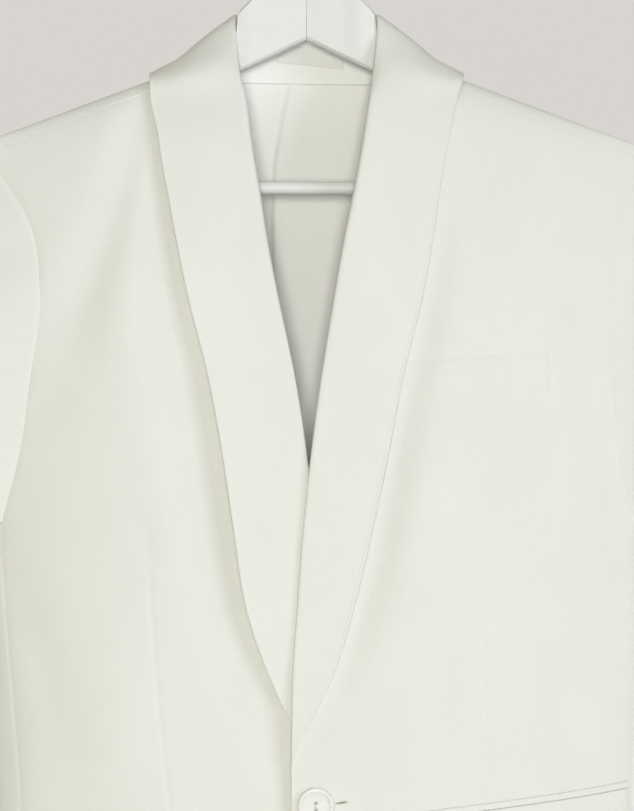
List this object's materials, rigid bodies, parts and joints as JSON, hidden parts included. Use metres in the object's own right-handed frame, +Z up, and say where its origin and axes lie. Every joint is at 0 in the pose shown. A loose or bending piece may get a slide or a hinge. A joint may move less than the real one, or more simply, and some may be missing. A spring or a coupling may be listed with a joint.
{
  "type": "tuxedo jacket on a clothes hanger",
  "caption": "Off-white one-button dinner jacket with a shawl collar, hanging open at the neck on a white wooden hanger with a trouser bar and a metal hook.",
  "frame": {"origin": "the underside of the hook's crown, on its middle plane, where a rail or wall hook carries the hanger", "axes": "+Z up; +X towards the wearer's left; the jacket's front faces -Y"},
  "size_m": [0.7102, 0.108, 0.8637],
  "materials": {
    "cloth": "matte fine-woven off-white suiting",
    "shawl": "fine off-white facing cloth, slightly smoother",
    "lining": "smooth off-white lining",
    "label": "plain woven tape, bare",
    "button": "semi-gloss cream plastic",
    "painted_wood": "white satin paint",
    "hook_metal": "polished metal wire"
  },
  "bodies": {
    "root": {"front_left": "cloth", "front_right": "cloth", "side_panel_left": "cloth", "side_panel_right": "cloth", "back_left": "cloth", "back_right": "cloth", "top_sleeve_left": "cloth", "top_sleeve_right": "cloth", "under_sleeve_left": "cloth", "under_sleeve_right": "cloth", "shawl_left": "shawl", "shawl_right": "shawl", "breast_welt": "cloth", "pocket_jet_left": "cloth", "pocket_jet_right": "cloth", "pocket_flap_left": "cloth", "pocket_flap_right": "cloth", "back_neck_facing": "lining", "back_lining": "lining", "neck_label": "label", "front_button": "button", "hanger_arm_left": "painted_wood", "hanger_arm_right": "painted_wood", "hanger_bar": "painted_wood", "hanger_hook": "hook_metal"}
  },
  "joints": []
}
